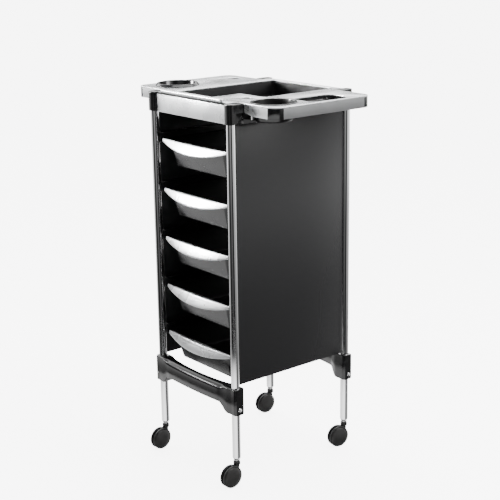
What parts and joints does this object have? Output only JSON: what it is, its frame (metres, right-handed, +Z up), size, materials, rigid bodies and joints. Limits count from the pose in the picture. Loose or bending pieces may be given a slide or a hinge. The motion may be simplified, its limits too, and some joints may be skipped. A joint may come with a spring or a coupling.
{
  "type": "salon trolley",
  "caption": "Tall salon trolley on casters: sliding trays between two side panels, chrome tube legs, and a basin top with holder wings.",
  "frame": {"origin": "on the floor, under the middle of the trolley's bounding box; the middle of the four posts is 10.6 mm further back, because all the casters trail towards the front", "axes": "+Z up; the tray handles face -Y, and the wing with the round cup is on the +X side"},
  "size_m": [0.504, 0.4012, 0.8845],
  "materials": {
    "silver_plastic": "satin silver paint on moulded plastic",
    "black_gloss": "gloss black moulded plastic",
    "panel_black": "semi-gloss black sheet",
    "chrome_tube": "polished chrome plate",
    "plated_steel": "bright zinc plate",
    "wheel_black": "dark grey moulded wheel with a black tread"
  },
  "bodies": {
    "root": {"basin": "black_gloss", "bottom_rail_front": "black_gloss", "bottom_rail_rear": "black_gloss", "corner_block_front_left": "black_gloss", "corner_block_front_right": "black_gloss", "corner_block_rear_left": "black_gloss", "corner_block_rear_right": "black_gloss", "dryer_ring": "black_gloss", "front_lip": "silver_plastic", "leg_ferrule_front_left": "plated_steel", "leg_ferrule_front_right": "plated_steel", "leg_ferrule_rear_left": "plated_steel", "leg_ferrule_rear_right": "plated_steel", "post_front_left": "chrome_tube", "post_front_right": "chrome_tube", "post_rear_left": "chrome_tube", "post_rear_right": "chrome_tube", "side_panel_left": "panel_black", "side_panel_right": "panel_black", "side_rail_left": "black_gloss", "side_rail_right": "black_gloss", "socket_screw_front_left": "plated_steel", "socket_screw_front_right": "plated_steel", "socket_screw_rear_left": "plated_steel", "socket_screw_rear_right": "plated_steel", "tool_dish": "black_gloss", "top_band_front": "silver_plastic", "top_band_rear": "silver_plastic", "top_deck": "silver_plastic"},
    "tray_1_body": {"tray_1": "black_gloss", "handle_1": "silver_plastic"},
    "tray_2_body": {"tray_2": "black_gloss", "handle_2": "silver_plastic"},
    "tray_3_body": {"tray_3": "black_gloss", "handle_3": "silver_plastic"},
    "tray_4_body": {"tray_4": "black_gloss", "handle_4": "silver_plastic"},
    "tray_5_body": {"tray_5": "black_gloss", "handle_5": "silver_plastic"},
    "caster_front_left": {"caster_fork_front_left": "black_gloss", "caster_stem_front_left": "plated_steel", "caster_axle_front_left": "plated_steel"},
    "wheel_front_left_outer": {"caster_wheel_front_left_outer": "wheel_black"},
    "wheel_front_left_inner": {"caster_wheel_front_left_inner": "wheel_black"},
    "caster_front_right": {"caster_fork_front_right": "black_gloss", "caster_stem_front_right": "plated_steel", "caster_axle_front_right": "plated_steel"},
    "wheel_front_right_outer": {"caster_wheel_front_right_outer": "wheel_black"},
    "wheel_front_right_inner": {"caster_wheel_front_right_inner": "wheel_black"},
    "caster_rear_left": {"caster_fork_rear_left": "black_gloss", "caster_stem_rear_left": "plated_steel", "caster_axle_rear_left": "plated_steel"},
    "wheel_rear_left_outer": {"caster_wheel_rear_left_outer": "wheel_black"},
    "wheel_rear_left_inner": {"caster_wheel_rear_left_inner": "wheel_black"},
    "caster_rear_right": {"caster_fork_rear_right": "black_gloss", "caster_stem_rear_right": "plated_steel", "caster_axle_rear_right": "plated_steel"},
    "wheel_rear_right_outer": {"caster_wheel_rear_right_outer": "wheel_black"},
    "wheel_rear_right_inner": {"caster_wheel_rear_right_inner": "wheel_black"},
    "cup_body": {"round_cup": "black_gloss"}
  },
  "joints": [
    {"name": "tray_1_slide", "type": "slide", "parent": "root", "child": "tray_1_body", "axis": [0, -1, 0], "range_m": [0, 0.22]},
    {"name": "tray_2_slide", "type": "slide", "parent": "root", "child": "tray_2_body", "axis": [0, -1, 0], "range_m": [0, 0.22]},
    {"name": "tray_3_slide", "type": "slide", "parent": "root", "child": "tray_3_body", "axis": [0, -1, 0], "range_m": [0, 0.22]},
    {"name": "tray_4_slide", "type": "slide", "parent": "root", "child": "tray_4_body", "axis": [0, -1, 0], "range_m": [0, 0.22]},
    {"name": "tray_5_slide", "type": "slide", "parent": "root", "child": "tray_5_body", "axis": [0, -1, 0], "range_m": [0, 0.22]},
    {"name": "swivel_front_left", "type": "hinge", "parent": "root", "child": "caster_front_left", "pos_m": [-0.14, -0.1574, 0.06], "axis": [0, 0, 1], "continuous": true},
    {"name": "spin_front_left_outer", "type": "hinge", "parent": "caster_front_left", "child": "wheel_front_left_outer", "pos_m": [-0.13878, -0.17486, 0.026], "axis": [0.9976, 0.0698, 0], "continuous": true},
    {"name": "spin_front_left_inner", "type": "hinge", "parent": "caster_front_left", "child": "wheel_front_left_inner", "pos_m": [-0.13878, -0.17486, 0.026], "axis": [0.9976, 0.0698, 0], "continuous": true},
    {"name": "swivel_front_right", "type": "hinge", "parent": "root", "child": "caster_front_right", "pos_m": [0.14, -0.1574, 0.06], "axis": [0, 0, 1], "continuous": true},
    {"name": "spin_front_right_outer", "type": "hinge", "parent": "caster_front_right", "child": "wheel_front_right_outer", "pos_m": [0.14, -0.1749, 0.026], "axis": [1, 0, 0], "continuous": true},
    {"name": "spin_front_right_inner", "type": "hinge", "parent": "caster_front_right", "child": "wheel_front_right_inner", "pos_m": [0.14, -0.1749, 0.026], "axis": [1, 0, 0], "continuous": true},
    {"name": "swivel_rear_left", "type": "hinge", "parent": "root", "child": "caster_rear_left", "pos_m": [-0.14, 0.1786, 0.06], "axis": [0, 0, 1], "continuous": true},
    {"name": "spin_rear_left_outer", "type": "hinge", "parent": "caster_rear_left", "child": "wheel_rear_left_outer", "pos_m": [-0.14092, 0.16112, 0.026], "axis": [0.9986, -0.0523, 0], "continuous": true},
    {"name": "spin_rear_left_inner", "type": "hinge", "parent": "caster_rear_left", "child": "wheel_rear_left_inner", "pos_m": [-0.14092, 0.16112, 0.026], "axis": [0.9986, -0.0523, 0], "continuous": true},
    {"name": "swivel_rear_right", "type": "hinge", "parent": "root", "child": "caster_rear_right", "pos_m": [0.14, 0.1786, 0.06], "axis": [0, 0, 1], "continuous": true},
    {"name": "spin_rear_right_outer", "type": "hinge", "parent": "caster_rear_right", "child": "wheel_rear_right_outer", "pos_m": [0.13696, 0.16137, 0.026], "axis": [0.9848, -0.1736, 0], "continuous": true},
    {"name": "spin_rear_right_inner", "type": "hinge", "parent": "caster_rear_right", "child": "wheel_rear_right_inner", "pos_m": [0.13696, 0.16137, 0.026], "axis": [0.9848, -0.1736, 0], "continuous": true},
    {"name": "cup_lift", "type": "slide", "parent": "root", "child": "cup_body", "axis": [0, 0, 1], "range_m": [0, 0.06]}
  ]
}
